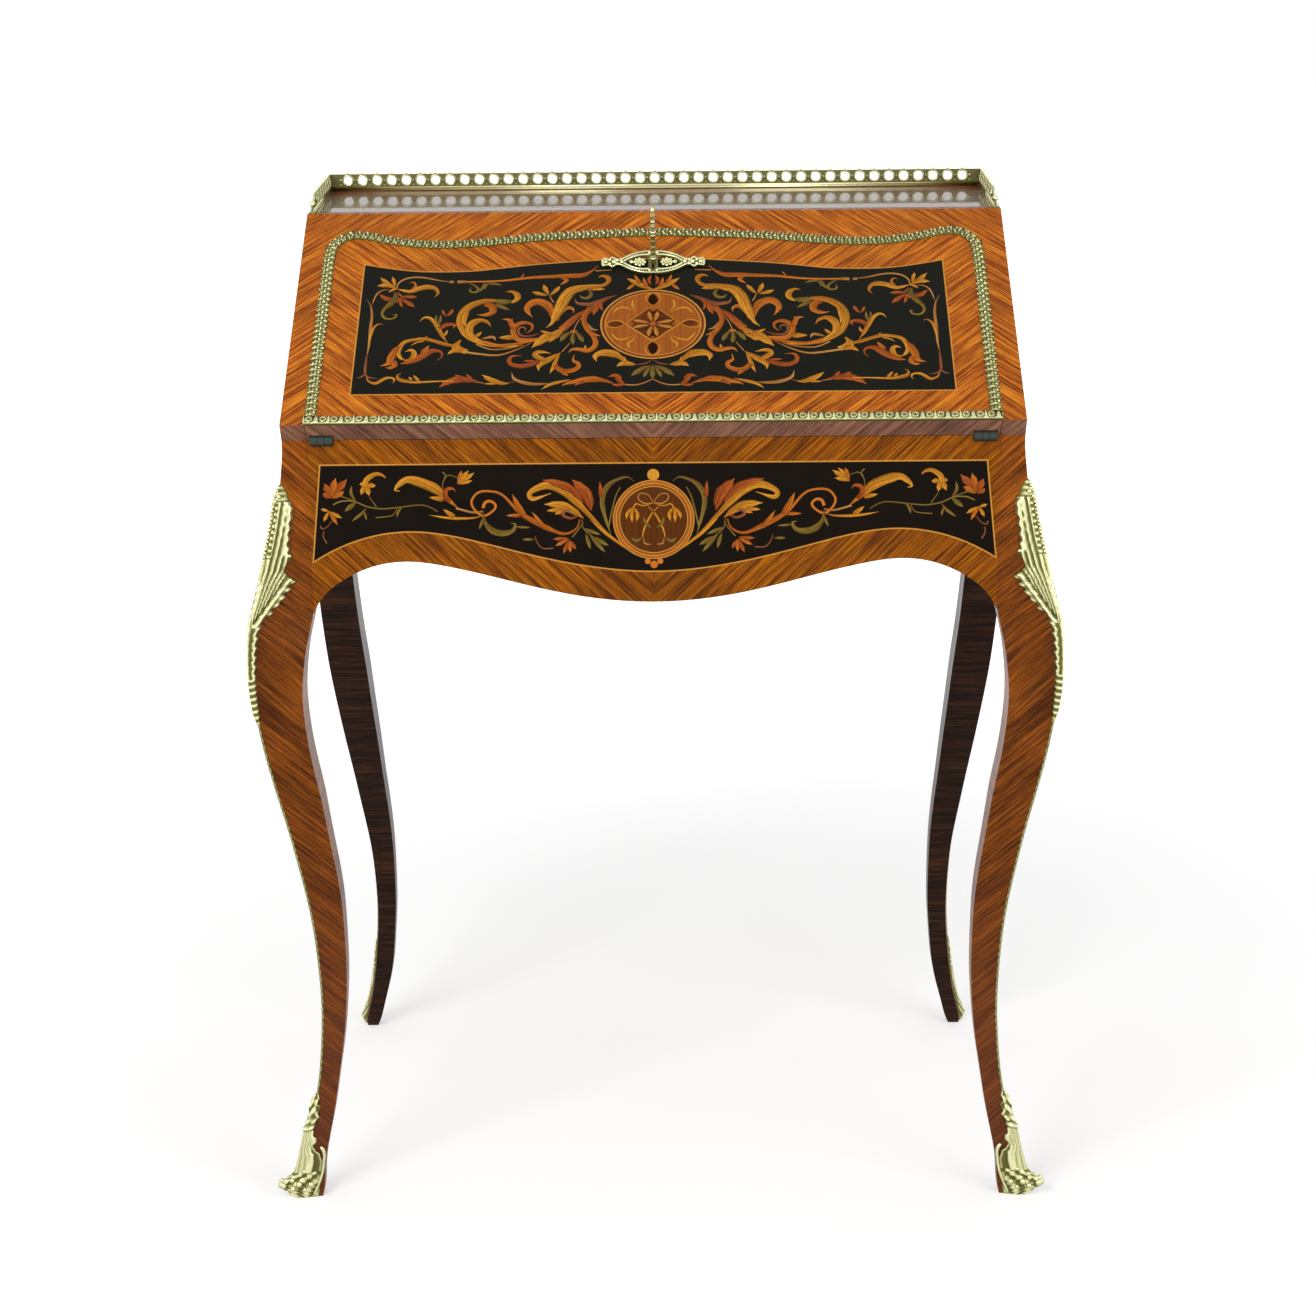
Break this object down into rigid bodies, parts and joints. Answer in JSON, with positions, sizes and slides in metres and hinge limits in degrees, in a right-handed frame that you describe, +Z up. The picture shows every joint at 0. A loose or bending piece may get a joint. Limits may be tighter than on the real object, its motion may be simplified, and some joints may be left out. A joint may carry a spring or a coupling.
{
  "type": "writing desk",
  "caption": "Slant-front lady's writing desk on cabriole legs, with a drop fall, inner drawers and pigeonholes, a covered well, marquetry panels, gilt mounts and a pierced gallery.",
  "frame": {"origin": "on the floor under the middle of the case", "axes": "+X to the user's right, -Y to the user in front, +Z up"},
  "size_m": [0.7216, 0.4716, 0.9092],
  "materials": {
    "leg_veneer": "French-polished kingwood veneer, diagonal",
    "back_leg_wood": "dark stained hardwood, polished",
    "frieze_veneer": "French-polished kingwood veneer, diagonal",
    "side_veneer": "French-polished kingwood veneer",
    "slope_veneer": "French-polished tulipwood veneer, diagonal",
    "top_veneer": "mirror-bright French polish",
    "back_wood": "stained hardwood, matt",
    "ebonised_marquetry": "ebonised ground with floral marquetry, polished",
    "bed_veneer": "French-polished veneer",
    "drawer_veneer": "French-polished tulipwood veneer",
    "interior_oak": "bare oak",
    "writing_leather": "dark green tooled leather",
    "hinge_metal": "dull tarnished brass",
    "screw_steel": "worn steel",
    "lock_steel": "worn steel",
    "gilt_brass": "gilt brass, bright with dark recesses"
  },
  "bodies": {
    "carcase": {"back_panel": "back_wood", "case_bottom": "interior_oak", "case_hinge_screws": "screw_steel", "chute_back_left": "gilt_brass", "chute_back_right": "gilt_brass", "chute_front_left": "gilt_brass", "chute_front_right": "gilt_brass", "frieze_front": "frieze_veneer", "frieze_inlay": "ebonised_marquetry", "gallery_back": "gilt_brass", "gallery_left": "gilt_brass", "gallery_right": "gilt_brass", "hinge_case_leaf_left": "hinge_metal", "hinge_case_leaf_right": "hinge_metal", "hinge_pins": "hinge_metal", "leg_back_left": "back_leg_wood", "leg_back_right": "back_leg_wood", "leg_fillets": "gilt_brass", "leg_front_left": "leg_veneer", "leg_front_right": "leg_veneer", "lock_strike": "lock_steel", "nest_floor": "interior_oak", "nest_shelves": "interior_oak", "nest_uprights": "interior_oak", "sabot_back_left": "gilt_brass", "sabot_back_right": "gilt_brass", "sabot_front_left": "gilt_brass", "sabot_front_right": "gilt_brass", "side_left": "side_veneer", "side_right": "side_veneer", "slope_rail": "slope_veneer", "top_board": "top_veneer", "well_runners": "interior_oak", "well_walls": "interior_oak", "writing_bed": "bed_veneer"},
    "fall": {"fall_board": "slope_veneer", "fall_inlay": "ebonised_marquetry", "leather_inset": "writing_leather", "moulding_foot": "gilt_brass", "moulding_right": "gilt_brass", "moulding_left": "gilt_brass", "moulding_crest": "gilt_brass", "escutcheon": "gilt_brass", "lock_case": "lock_steel", "hinge_fall_leaf_right": "hinge_metal", "hinge_fall_leaf_left": "hinge_metal", "fall_hinge_screws": "screw_steel"},
    "lock_bolt": {"lock_bolt": "lock_steel"},
    "key": {"key": "gilt_brass"},
    "well_cover": {"well_cover": "bed_veneer"},
    "drawer_left": {"drawer_front_left": "drawer_veneer", "drawer_box_left": "interior_oak", "drawer_knob_left": "gilt_brass"},
    "drawer_middle": {"drawer_front_middle": "drawer_veneer", "drawer_box_middle": "interior_oak", "drawer_knob_middle": "gilt_brass"},
    "drawer_right": {"drawer_front_right": "drawer_veneer", "drawer_box_right": "interior_oak", "drawer_knob_right": "gilt_brass"}
  },
  "joints": [
    {"name": "fall_hinge", "type": "hinge", "parent": "carcase", "child": "fall", "pos_m": [0, -0.2, 0.729], "axis": [1, 0, 0], "range_deg": [0, 150.21]},
    {"name": "key_turn", "type": "hinge", "parent": "fall", "child": "key", "pos_m": [0, -0.02148, 0.85194], "axis": [0, -0.4968, 0.8678], "range_deg": [0, 180]},
    {"name": "bolt_slide", "type": "slide", "parent": "fall", "child": "lock_bolt", "axis": [0, 0.8678, 0.4968], "range_m": [0, 0.008]},
    {"name": "well_cover_slide", "type": "slide", "parent": "carcase", "child": "well_cover", "axis": [0, 1, 0], "range_m": [0, 0.16]},
    {"name": "drawer_left_slide", "type": "slide", "parent": "carcase", "child": "drawer_left", "axis": [0, -1, 0], "range_m": [0, 0.095]},
    {"name": "drawer_middle_slide", "type": "slide", "parent": "carcase", "child": "drawer_middle", "axis": [0, -1, 0], "range_m": [0, 0.095]},
    {"name": "drawer_right_slide", "type": "slide", "parent": "carcase", "child": "drawer_right", "axis": [0, -1, 0], "range_m": [0, 0.095]}
  ],
  "couplings": [
    {"joint": "key_turn", "follows": "bolt_slide", "rad_per_m": 392.7}
  ]
}
